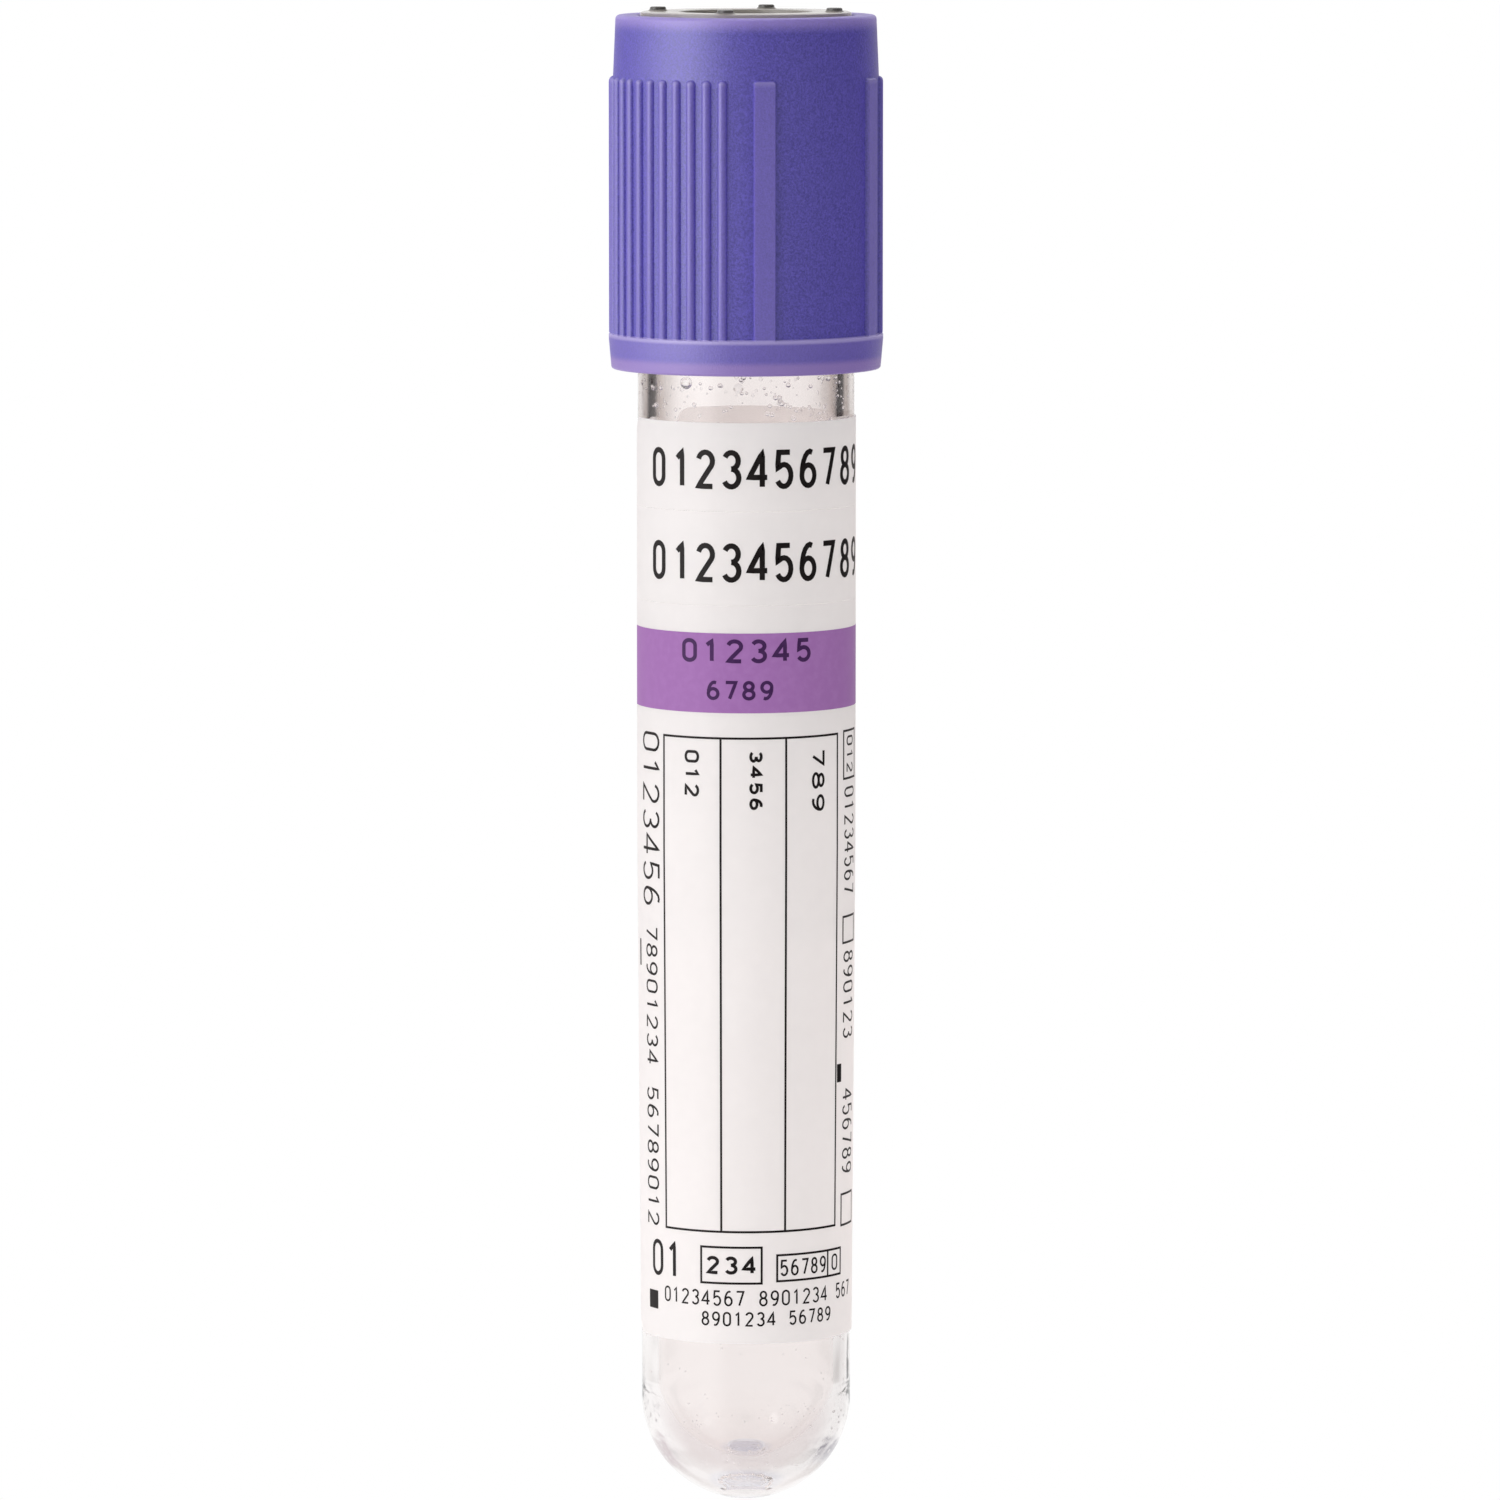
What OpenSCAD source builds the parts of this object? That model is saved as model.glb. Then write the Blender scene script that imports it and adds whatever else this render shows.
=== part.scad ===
// Capped vacuum blood collection tube, 13 mm across and 75 mm long.
// It is round all along, so it can't lie still, and its bottom is a dome: it stands on its cap.
// Every piece is drawn bottom end down, at z = 0, with the printed side towards -Y,
// and stand_on_cap() then turns it over about the Y axis.

/* [Tube] */
// Outside diameter of the straight shank
tube_od = 13; // [11:0.1:17]
// Length from the round bottom to the mouth
tube_len = 75; // [60:1:110]
// Wall at the mouth
tube_wall = 1; // [0.7:0.05:1.3]
// Thickness of the round bottom on the axis
bottom_t = 1; // [0.7:0.05:2]
// Draft of the outside: how much the radius shrinks down to the round bottom
outer_draft = 0.2; // [0:0.05:0.4]
// Length of the straight stretch that the round bottom ends in
foot_h = 4; // [2:0.1:6]
// Height at which the drafted stretch ends and the straight shank begins
draft_top = 40; // [20:1:45]
// Radius lost by the neck that the skirt of the cap covers
neck_relief = 0.05; // [0.02:0.01:0.2]
// Draft of the bore
bore_draft = 0.2; // [0:0.05:0.4]
// Length of the straight sealing land at the top of the bore
seal_land = 9; // [7:0.5:12]
// Radius of the ring that the gate leaves under the bottom
gate_ring_r = 1.6; // [1:0.1:2.5]

/* [Safety cap] */
// Height of the cap above the tube's mouth
cap_rise = 14.6; // [12.5:0.1:20]
// How far the skirt reaches down past the mouth
skirt_reach = 6.5; // [4:0.1:9]
// Gap between the skirt and the shank
skirt_gap = 0.4; // [0.3:0.05:0.8]
// Wall of the skirt between the ribs
skirt_wall = 1.04; // [0.8:0.02:1.6]
// Height of the plain collar above the ribs
collar_h = 3.6; // [2:0.1:6]
// How much the collar narrows towards the rim
collar_draft = 0.14; // [0:0.02:0.3]
// Height of the lip below the ribs
lip_h = 2.1; // [1.2:0.1:4]
// How much the lip narrows downwards
lip_draft = 0.145; // [0.05:0.005:0.4]
// How far the lip stands out from the skirt
lip_rise = 0.275; // [0.16:0.005:0.5]
// How far the ribs stay below the lip's edge
rib_step = 0.01; // [0.005:0.005:0.05]
// Radius of the round grip ribs
rib_r = 0.29; // [0.2:0.01:0.45]
// Grip ribs in each of the two groups
rib_count = 13; // [5:1:13]
// Angle from one grip rib to the next
rib_pitch = 7; // [5:0.1:7]
// Width of a key rib
key_w = 1.35; // [0.8:0.05:2]
// Angle from the middle of a smooth panel to the middle of its key ribs
key_angle = 29.85; // [20:0.05:35]
// Angle from the printed side's middle to the middle of a smooth panel
panel_angle = 37.85; // [-90:0.05:90]
// Thickness of the inner shelf that holds the stopper
shelf_t = 2.5; // [1.5:0.1:3]

/* [Stopper] */
// Radial clearance of the plug in the tube
plug_fit = 0.03; // [0.02:0.01:0.09]
// Length of the plug below the mouth
plug_len = 6; // [4:0.1:6.5]
// Clearance between the flange and the mouth
seat_gap = 0.02; // [0.01:0.01:0.1]
// Thickness of the flange on the mouth
flange_t = 3; // [1.5:0.1:4]
// Gap round the stopper's head in the cap
head_gap = 0.1; // [0.05:0.01:0.2]
// How far the head stands above the cap's rim
head_proud = 0.15; // [0.05:0.05:0.5]
// Radius of the hollow under the plug
hollow_r = 3; // [2:0.1:3.5]
// Depth of the hollow under the plug
hollow_depth = 10; // [4:0.1:11]
// Radius of the needle well in the head
well_r = 4; // [3:0.1:4.5]
// Depth of the needle well
well_depth = 3; // [1.5:0.1:4]
// Radius of the ring on which the four pips stand
pip_ring_r = 5.4; // [5.2:0.05:5.6]
// Height of a pip
pip_h = 0.3; // [0.1:0.05:0.6]

/* [Label] */
// Thickness of the label and its strips
label_t = 0.07; // [0.04:0.01:0.12]
// Gap between the label and the tube
label_gap = 0.02; // [0.01:0.01:0.05]
// Height of the label's lower edge above the bottom
label_low = 10.4; // [8:0.1:16]
// Distance from the label's upper edge to the mouth
label_top_gap = 9.35; // [8:0.05:20]
// Height of the upper peel-off strip
upper_strip_h = 5.3; // [3:0.1:8]
// Height of the lower peel-off strip
lower_strip_h = 5.6; // [3:0.1:8]
// Width of the kiss cut between the strips
kiss_cut = 0.06; // [0.02:0.01:0.3]
// Angle of the label's left edge from the printed side's middle
label_edge = -83; // [-100:1:-70]
// Angle that the label covers
label_wrap = 312; // [270:1:340]

/* [Additive] */
// Number of dried droplets on the bore
droplet_count = 40; // [8:1:60]
// Radius of the smallest droplet
droplet_min_r = 0.22; // [0.15:0.01:0.3]
// How much larger the largest droplet is
droplet_spread = 0.16; // [0:0.01:0.3]

/* [Hidden] */
$fn = 96;

// Overlap of a cutting tool past the face that it cuts
cut = 0.5;

// Tube
tube_r = tube_od / 2;
bottom_r = tube_r - outer_draft;
foot_z = bottom_r + foot_h;
neck_r = tube_r - neck_relief;
bore_r = tube_r - tube_wall;
bore_end_r = bore_r - bore_draft;
bore_end_z = bottom_t + bore_end_r;
land_z = tube_len - seal_land;
mouth_round = 0.15;
gate_ring_w = 0.12;
core_mark_r = 1.25;
core_mark_depth = 0.05;

// Safety cap
// Straight stretch at the top of the lip, which the ribs run into
lip_land = 0.3;
cap_low = tube_len - skirt_reach;
neck_z = cap_low - 0.5;
cap_top = tube_len + cap_rise;
lip_z = cap_low + lip_h;
collar_z = cap_top - collar_h;
rib_foot_z = lip_z - lip_land / 2;
rib_end_z = collar_z - 0.05;
skirt_in_r = tube_r + skirt_gap;
skirt_r = skirt_in_r + skirt_wall;
rim_r = skirt_r - collar_draft;
lip_r = skirt_r + lip_rise;
lip_low_r = lip_r - lip_draft;
crest_r = lip_r - rib_step;
rim_round = 0.25;
lip_round = 0.15;
mouth_bevel = 0.35;
key_bevel = 0.3;

// Stopper
plug_r = bore_r - plug_fit;
plug_low = tube_len - plug_len;
plug_bevel_r = 0.35;
plug_bevel_h = 0.8;
flange_low = tube_len + seat_gap;
shelf_low = flange_low + flange_t;
shelf_top = shelf_low + shelf_t;
groove_r = plug_r - 0.25;
shelf_r = groove_r + head_gap;
head_r = tube_r - 0.15;
head_bore_r = head_r + head_gap;
head_top = cap_top + head_proud;
pip_foot_r = 0.55;
pip_tip_r = 0.4;
pip_count = 4;
// The pips stand a little off the printed side's middle
pip_turn = 13;

// Label
label_top = tube_len - label_top_gap;
upper_cut = label_top - upper_strip_h;
lower_cut = upper_cut - lower_strip_h;

// Additive
golden_angle = 137.508;
droplet_low = label_low + 12;
droplet_high = cap_low - 0.6;
// Share of its radius by which the middle of a droplet lies behind the bore
droplet_sink = 0.2;
// Gap between a droplet's foot and the bore
droplet_gap = 0.01;

// Turns the tube over, so that it stands on the pips of its stopper
module stand_on_cap() {
    translate([0, 0, head_top + pip_h]) rotate([0, 180, 0]) children();
}

// Turns what is drawn on the printed side (-Y) by an angle, positive towards +X
module at_angle(angle) {
    rotate([0, 0, angle]) children();
}

// Outside radius of the drafted tube at a height
function shank_r(z) = z >= draft_top ? tube_r : z <= foot_z ? bottom_r
    : tube_r - outer_draft * (draft_top - z) / (draft_top - foot_z);

// Radius of the bore above its round end at a height
function bore_wall_r(z) = z >= land_z ? bore_r
    : bore_r - bore_draft * (land_z - z) / (land_z - bore_end_z);

// Inner space of the tube
module bore_space() {
    translate([0, 0, bore_end_z]) {
        sphere(bore_end_r);
        cylinder(h = land_z - bore_end_z, r1 = bore_end_r, r2 = bore_r);
    }
    translate([0, 0, land_z]) cylinder(h = seal_land + cut, r = bore_r);
}

module tube() {
    color([0.9, 0.92, 0.93, 0.35]) stand_on_cap() difference() {
        union() {
            translate([0, 0, bottom_r]) {
                sphere(bottom_r);
                cylinder(h = foot_h, r = bottom_r);
            }
            translate([0, 0, foot_z])
                cylinder(h = draft_top - foot_z, r1 = bottom_r, r2 = tube_r);
            translate([0, 0, draft_top]) cylinder(h = neck_z - draft_top, r = tube_r);
            translate([0, 0, neck_z]) cylinder(h = tube_len - mouth_round - neck_z, r = neck_r);
            translate([0, 0, tube_len - mouth_round])
                cylinder(h = mouth_round, r1 = neck_r, r2 = neck_r - mouth_round);
        }
        bore_space();
        // Mark of the core pin on the inner bottom
        translate([0, 0, bottom_t - core_mark_depth])
            cylinder(h = bottom_t, r = core_mark_r);
        // Ring that the gate leaves under the bottom
        translate([0, 0, bottom_r - sqrt(pow(bottom_r, 2) - pow(gate_ring_r, 2))])
            rotate_extrude()
                translate([gate_ring_r, 0]) circle(gate_ring_w);
    }
}

// A round grip rib with a domed upper end
module grip_rib() {
    length = rib_end_z - rib_r - rib_foot_z;
    translate([0, rib_r - crest_r, rib_foot_z]) {
        cylinder(h = length, r = rib_r);
        translate([0, 0, length]) sphere(rib_r);
    }
}

// A flat-faced key rib with a bevelled upper end
module key_rib() {
    face = sqrt(pow(crest_r, 2) - pow(key_w / 2, 2));
    root = skirt_in_r + skirt_wall / 2;
    translate([-key_w / 2, 0, 0]) rotate([90, 0, 90])
        linear_extrude(key_w)
            polygon([[-root, rib_foot_z], [-face, rib_foot_z], [-face, rib_end_z - key_bevel],
                     [-face + key_bevel, rib_end_z], [-root, rib_end_z]]);
}

module safety_cap() {
    group_turn = -(rib_count - 1) / 2 * rib_pitch;
    color([0.37, 0.31, 0.65]) stand_on_cap() difference() {
        union() {
            rotate_extrude()
                polygon([[0, cap_low], [lip_low_r - lip_round, cap_low],
                         [lip_low_r, cap_low + lip_round], [lip_r, lip_z - lip_land],
                         [lip_r, lip_z], [skirt_r, lip_z], [skirt_r, collar_z],
                         [rim_r, cap_top - rim_round], [rim_r - rim_round, cap_top],
                         [0, cap_top]]);
            for (side = [0, 180]) at_angle(panel_angle + side) {
                for (key = [-key_angle, key_angle]) at_angle(key) key_rib();
                for (i = [0 : rib_count - 1]) at_angle(90 + group_turn + i * rib_pitch) grip_rib();
            }
        }
        // Room for the tube's neck and the stopper's flange
        translate([0, 0, cap_low - cut]) cylinder(h = shelf_low - cap_low + cut, r = skirt_in_r);
        translate([0, 0, cap_low - cut])
            cylinder(h = mouth_bevel + cut, r1 = skirt_in_r + mouth_bevel + cut, r2 = skirt_in_r);
        // Hole in the shelf that the stopper's waist passes through
        cylinder(h = cap_top, r = shelf_r);
        // Room for the stopper's head
        translate([0, 0, shelf_top]) cylinder(h = cap_top - shelf_top + cut, r = head_bore_r);
    }
}

module pip() {
    cylinder(h = pip_h, r1 = pip_foot_r, r2 = pip_tip_r);
}

module stopper() {
    color([0.3, 0.31, 0.32]) stand_on_cap() {
        difference() {
            rotate_extrude()
                polygon([[0, plug_low], [plug_r - plug_bevel_r, plug_low],
                         [plug_r, plug_low + plug_bevel_h], [plug_r, flange_low],
                         [neck_r, flange_low], [neck_r, shelf_low], [groove_r, shelf_low],
                         [groove_r, shelf_top], [head_r, shelf_top], [head_r, head_top],
                         [0, head_top]]);
            translate([0, 0, plug_low - cut]) cylinder(h = hollow_depth + cut, r = hollow_r);
            translate([0, 0, head_top - well_depth]) cylinder(h = well_depth + cut, r = well_r);
        }
        for (i = [0 : pip_count - 1])
            rotate([0, 0, i * 360 / pip_count - pip_turn])
                translate([0, pip_ring_r, head_top]) pip();
    }
}

// One stretch of the label, from a lower to an upper height
module wrap(low, high) {
    bends = [for (z = [foot_z, draft_top]) if (low < z && z < high) z];
    stops = concat([low], bends, [high]);
    inside = [for (z = stops) [shank_r(z) + label_gap, z]];
    outside = [for (p = inside) p + [label_t, 0]];
    color("white") stand_on_cap() at_angle(label_edge - 90)
        rotate_extrude(angle = label_wrap)
            polygon(concat(inside, [for (i = [len(stops) - 1 : -1 : 0]) outside[i]]));
}

module label() {
    wrap(label_low, lower_cut - kiss_cut / 2);
}

module number_strip_lower() {
    wrap(lower_cut + kiss_cut / 2, upper_cut - kiss_cut / 2);
}

module number_strip_upper() {
    wrap(upper_cut + kiss_cut / 2, label_top);
}

// Dome with its flat foot at z = 0
module droplet(r) {
    intersection() {
        translate([0, 0, -droplet_sink * r]) sphere(r);
        translate([-r, -r, 0]) cube(2 * r);
    }
}

// Droplets that cling to the bore, spread evenly round it and up its height
module additive_droplets() {
    step = (droplet_high - droplet_low) / (droplet_count - 1);
    color([0.95, 0.96, 0.96]) stand_on_cap()
        for (i = [0 : droplet_count - 1]) {
            z = droplet_low + i * step;
            r = droplet_min_r + droplet_spread * (i % 4) / 3;
            wall_r = bore_wall_r(z - r) - droplet_gap;
            foot_r = sqrt(pow(wall_r, 2) - pow(r, 2));
            at_angle(i * golden_angle) translate([0, -foot_r, z]) rotate([-90, 0, 0]) droplet(r);
        }
}

tube();
safety_cap();
stopper();
label();
number_strip_upper();
number_strip_lower();
additive_droplets();
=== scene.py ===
"""A capped blood collection tube of 13 by 75 mm, standing on its violet safety cap.

Pieces are drawn as a maker measures them: in millimetres, by their height above the round
bottom and their angle from the middle of the printed side, positive to the right of the print.
The tube stands upside down, so stood() turns each point over into the frame.
"""

import math
import random

import bmesh
import bpy
from mathutils import Matrix, Quaternion, Vector, noise


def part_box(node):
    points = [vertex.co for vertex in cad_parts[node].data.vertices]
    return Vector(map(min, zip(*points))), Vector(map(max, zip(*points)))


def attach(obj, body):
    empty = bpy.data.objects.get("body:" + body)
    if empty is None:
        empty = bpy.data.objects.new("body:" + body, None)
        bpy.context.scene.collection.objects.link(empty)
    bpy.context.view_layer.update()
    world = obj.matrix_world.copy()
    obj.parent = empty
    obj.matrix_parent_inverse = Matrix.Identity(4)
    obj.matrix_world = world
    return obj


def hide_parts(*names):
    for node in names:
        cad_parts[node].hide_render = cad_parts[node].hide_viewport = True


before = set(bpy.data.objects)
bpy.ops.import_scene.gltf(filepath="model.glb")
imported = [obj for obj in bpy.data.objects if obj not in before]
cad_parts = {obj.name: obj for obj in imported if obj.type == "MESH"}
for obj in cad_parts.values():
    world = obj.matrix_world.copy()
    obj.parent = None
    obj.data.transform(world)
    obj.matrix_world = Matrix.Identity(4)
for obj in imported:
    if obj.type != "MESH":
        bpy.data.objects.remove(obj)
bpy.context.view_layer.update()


# ------------------------------------------------------------------------------ clear tube
# The tube is injection moulded in clear PET, with a round bottom and a slight draft. The gate
# leaves a torn ring under the bottom, and the core pin a small disc mark on the inside.

MM = 0.001
tube_low, tube_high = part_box("tube")
bottom_level = tube_high.z
tube_r = tube_high.x / MM
tube_len = (tube_high.z - tube_low.z) / MM
tube_wall = 1.0
bottom_t = 2.0
outer_draft = 0.2
bore_draft = 0.2
foot_h = 4.0
land_h = 9.0
bottom_r = tube_r - outer_draft
foot_top = bottom_r + foot_h
draft_top = 40.0
neck_low = 68.0
neck_r = tube_r - 0.05
bore_r = tube_r - tube_wall
bore_end_r = bore_r - bore_draft
bore_end = bottom_t + bore_end_r
land_low = tube_len - land_h
gate_ring_r = 1.6
core_mark_r = 1.25
tube_sides = 288
dome_steps = 26


def stood(angle, radius, height):
    """The point at an angle, a radius and a height, in millimetres, where the frame has it."""
    return Vector((
        -radius * math.sin(angle) * MM,
        -radius * math.cos(angle) * MM,
        bottom_level - height * MM,
    ))


def shank_r(height):
    """Outside radius of the tube at a height above the round bottom."""
    share = (draft_top - height) / (draft_top - foot_top)
    return tube_r - (tube_r - bottom_r) * min(max(share, 0), 1)


def bore_at(height):
    """Radius of the bore at a height above the round bottom."""
    if height < bore_end:
        return math.sqrt(max(bore_end_r ** 2 - (bore_end - height) ** 2, 0))
    share = (land_low - height) / (land_low - bore_end)
    return bore_r - (bore_r - bore_end_r) * min(max(share, 0), 1)


class Body:
    """Points and faces of one piece, gathered ring by ring."""

    def __init__(self):
        self.points = []
        self.faces = []

    def ring(self, points):
        """Adds a ring of points and gives their numbers."""
        first = len(self.points)
        self.points += points
        return list(range(first, first + len(points)))

    def skin(self, rings):
        """Adds the faces between each ring and the next. A ring of one point is a pole."""
        count = max(len(ring) for ring in rings)
        rings = [ring * count if len(ring) == 1 else ring for ring in rings]
        for lower, upper in zip(rings, rings[1:]):
            for i in range(count):
                j = (i + 1) % count
                face = list(dict.fromkeys((lower[i], lower[j], upper[j], upper[i])))
                if len(face) > 2:
                    self.faces.append(face)

    def turn(self, rows, angles):
        """Adds a body turned about the axis. A row is a function that gives the radius and the
        height at an angle, or one height, where the body meets the axis."""
        rings = []
        for row in rows:
            if callable(row):
                rings.append(self.ring([stood(angle, *row(angle)) for angle in angles]))
            else:
                rings.append(self.ring([stood(0, 0, row)]))
        self.skin(rings if len(rings[0]) == 1 else rings + rings[:1])

    def made(self, name, finish, body, nodes=()):
        """The finished piece: its faces look outwards, and edges over 35 degrees stay sharp."""
        mesh = bpy.data.meshes.new(name)
        mesh.from_pydata(self.points, [], self.faces)
        shape = bmesh.new()
        shape.from_mesh(mesh)
        bmesh.ops.recalc_face_normals(shape, faces=shape.faces)
        shape.to_mesh(mesh)
        shape.free()
        mesh.shade_smooth()
        mesh.set_sharp_from_angle(angle=math.radians(35))
        mesh.materials.append(finish)
        piece = bpy.data.objects.new(name, mesh)
        bpy.context.scene.collection.objects.link(piece)
        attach(piece, body)
        if nodes:
            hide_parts(*nodes)
        return piece


def ring(radius, height):
    """A row of a turned body that is the same all round."""
    return lambda angle: (radius, height)


def rounded(radius, low_angle, high_angle, centre, steps, out=0):
    """Rows on a round end or edge, between two angles measured up from straight down. Centre is
    the height of the round's middle, and out is how far that is from the axis."""
    rows = []
    for i in range(steps + 1):
        turn = math.radians(low_angle + (high_angle - low_angle) * i / steps)
        rows.append(ring(out + radius * math.sin(turn), centre - radius * math.cos(turn)))
    return rows


def torn(radius, rise):
    """A row of the gate's torn edge, whose height and width wander."""
    def row(angle):
        place = Vector((math.cos(angle), math.sin(angle), radius)) * 3.1
        wander = noise.noise(place) + 0.6 * noise.noise(place * 2.7)
        wide = radius + 0.09 * wander
        return wide, bottom_r - math.sqrt(bottom_r ** 2 - wide ** 2) + rise * (1 + wander)
    return row


def whole_turn(steps):
    """Evenly spaced angles all the way round."""
    return [2 * math.pi * i / steps for i in range(steps)]


# The outline starts on the torn gate, goes up the outside and over the mouth, and ends in the
# core pin's mark at the end of the bore.
gate_edge = math.degrees(math.asin((gate_ring_r + 0.25) / bottom_r))
core_edge = math.degrees(math.asin(core_mark_r / bore_end_r))
rows = [0, torn(0.5, 0.03), torn(0.95, 0.06), torn(1.2, 0.1), torn(1.3, 0.01), torn(1.42, 0.02)]
rows += [torn(1.5, 0.1), torn(1.62, 0.12), torn(1.72, 0.01)]
rows += rounded(bottom_r, gate_edge, 90, bottom_r, dome_steps)
rows += [ring(bottom_r, foot_top), ring(tube_r, draft_top), ring(tube_r, neck_low)]
rows += [ring(neck_r, neck_low + 1), ring(neck_r, tube_len - 0.15)]
rows += [ring(neck_r - 0.04, tube_len - 0.04), ring(neck_r - 0.15, tube_len)]
rows += [ring(bore_r + 0.1, tube_len), ring(bore_r, tube_len - 0.1), ring(bore_r, land_low)]
rows += [ring(bore_at(height), height) for height in (bore_end + 0.5, bore_end + 0.1)]
rows += rounded(bore_end_r, 90, core_edge, bore_end, dome_steps)
rows += [ring(core_mark_r - 0.04, bottom_t + 0.1), ring(core_mark_r - 0.12, bottom_t - 0.02)]
rows += [bottom_t - 0.02]
tube = Body()
tube.turn(rows, whole_turn(tube_sides))


class Wire:
    """The value on a socket of a finish's nodes. Arithmetic on it adds Math nodes."""

    def __init__(self, finish, socket):
        self.finish = finish
        self.socket = socket

    def math(self, operation, *values):
        """A Math node on the values."""
        sockets = dict(enumerate(values))
        return self.finish.node("ShaderNodeMath", {"operation": operation}, sockets)

    def __add__(self, other):
        return self.math("ADD", self, other)

    def __sub__(self, other):
        return self.math("SUBTRACT", self, other)

    def __rsub__(self, other):
        return self.math("SUBTRACT", other, self)

    def __mul__(self, other):
        return self.math("MULTIPLY", self, other)

    def __truediv__(self, other):
        return self.math("DIVIDE", self, other)

    __radd__ = __add__
    __rmul__ = __mul__

    def rises(self, low, high):
        """0 below low and 1 above high, smooth between them. Low may be the larger number."""
        share = (self - low) / (high - low)
        share = self.math("MINIMUM", self.math("MAXIMUM", share, 0), 1)
        return share * share * (3 - 2 * share)


class Finish:
    """A material, the world or a lamp, and the one way in which its nodes are made."""

    def __init__(self, name, owner=None):
        self.owner = owner or bpy.data.materials.new(name)
        self.owner.use_nodes = True
        self.tree = self.owner.node_tree
        self.tree.nodes.clear()

    def node(self, kind, settings=None, sockets=None, out=0):
        """Adds a node, sets it, fills or links its sockets, and gives one of its outputs."""
        node = self.tree.nodes.new(kind)
        for key, value in (settings or {}).items():
            setattr(node, key, value)
        for key, value in (sockets or {}).items():
            if isinstance(value, Wire):
                self.tree.links.new(value.socket, node.inputs[key])
            else:
                node.inputs[key].default_value = value
        return Wire(self, node.outputs[out]) if node.outputs else node

    def grain(self, scale, stretch=(1, 1, 1), detail=2.0, rough=0.5):
        """Noise from 0 to 1, with so many features in a millimetre, stretched along the axes."""
        place = self.node("ShaderNodeTexCoord", out="Object")
        place = self.node("ShaderNodeMapping", {}, {"Vector": place, "Scale": stretch})
        sockets = {"Vector": place, "Scale": scale / MM, "Detail": detail, "Roughness": rough}
        return self.node("ShaderNodeTexNoise", {}, sockets)

    def height(self):
        """Height above the round bottom, in millimetres."""
        place = self.node("ShaderNodeTexCoord", out="Object")
        return (bottom_level - self.node("ShaderNodeSeparateXYZ", {}, {0: place}, out="Z")) / MM

    def radius(self):
        """Distance from the axis, in millimetres."""
        place = self.node("ShaderNodeTexCoord", out="Object")
        x, y = (self.node("ShaderNodeSeparateXYZ", {}, {0: place}, out=axis) for axis in "XY")
        return x.math("SQRT", x * x + y * y) / MM

    def blend(self, mask, low, high):
        """From one colour to another as the mask goes from 0 to 1."""
        settings = {"data_type": "RGBA"}
        return self.node("ShaderNodeMix", settings, {0: mask, 6: low, 7: high}, out=2)

    def relief(self, height, depth):
        """A normal from a relief of heights between 0 and 1, whose depth is in millimetres."""
        sockets = {"Height": height, "Distance": depth * MM, "Strength": 1.0}
        return self.node("ShaderNodeBump", {}, sockets)

    def skin(self, **sockets):
        """A Principled shader. A socket goes by its name in lower case, with underscores."""
        sockets = {key.replace("_", " ").title().replace("Ior", "IOR"): value
                   for key, value in sockets.items()}
        return self.node("ShaderNodeBsdfPrincipled", {}, sockets)

    def lets_lamps_through(self, shader, tint):
        """Rays that look for a lamp go straight through a clear piece."""
        shadow = self.node("ShaderNodeLightPath", out="Is Shadow Ray")
        clear = self.node("ShaderNodeBsdfTransparent", {}, {"Color": tint})
        return self.node("ShaderNodeMixShader", {}, {0: shadow, 1: shader, 2: clear})

    def finished(self, shader, kind="Material"):
        """Links the shader to the output of a Material, a World or a Light, and gives its owner."""
        self.node(f"ShaderNodeOutput{kind}", {}, {"Surface": shader})
        return self.owner


def swatch(red, green, blue):
    """A colour as it shows, from 0 to 255, as the linear values that a socket takes."""
    shown = [value / 255 for value in (red, green, blue)]
    linear = [v / 12.92 if v <= 0.04045 else ((v + 0.055) / 1.055) ** 2.4 for v in shown]
    return (*linear, 1.0)


def clear_pet():
    """Clear PET with faint flow lines, a touch warm, frosted and bluish where the gate tore and
    where the core pin's disc left its mark."""
    pet = Finish("clear PET")
    height = pet.height()
    gate = height.rises(0.55, 0.25)
    core = height.rises(bottom_t + 0.18, bottom_t + 0.1)
    core = core * pet.radius().rises(core_mark_r + 0.1, core_mark_r)
    flow = pet.grain(0.25, stretch=(1, 1, 0.3))
    speck = pet.grain(6.0)
    tint = pet.blend(gate, swatch(250, 246, 245), swatch(222, 224, 236))
    tint = pet.blend(0.8 * core, tint, swatch(206, 208, 224))
    shader = pet.skin(
        base_color=tint,
        roughness=0.015 + 0.2 * gate + 0.1 * core + 0.02 * speck.rises(0.62, 0.72),
        transmission_weight=1.0,
        ior=1.575,
        normal=pet.relief(flow + 0.15 * speck * gate, 0.05),
    )
    return pet.finished(pet.lets_lamps_through(shader, swatch(250, 247, 246)))


tube.made("clear_tube", clear_pet(), "labelled_tube", ["tube"])


# ------------------------------------------------------------------------ additive droplets
# The anticoagulant is sprayed into the tube as fine drops, which dry on the bore as low clear
# domes. The larger ones stand in a spiral round the bore, with a fine mist between them.


def height_of(level):
    """Height above the round bottom, in millimetres, of a level in the frame."""
    return (bottom_level - level) / MM


label_low = height_of(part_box("label")[1].z)
cap_foot = height_of(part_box("safety_cap")[1].z)
spray_low = label_low + 12
spray_high = cap_foot - 0.6
golden_angle = math.radians(137.508)
large_drops = 40
large_least = 0.22
large_most = 0.38
mist_drops = 2600
mist_least = 0.05
mist_most = 0.17
mist_high = spray_high + 0.4
fine_size = 0.18
stray_drops = 90
stray_low = bottom_t + 1
stray_size = 0.06
# Four drops in plain sight just below the cap, by angle in degrees, height and size.
neck_drops = ((21, 66.75, 0.2), (24, 68.9, 0.17), (-13, 66.3, 0.1), (5, 69.2, 0.1))
random.seed(5)


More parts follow.
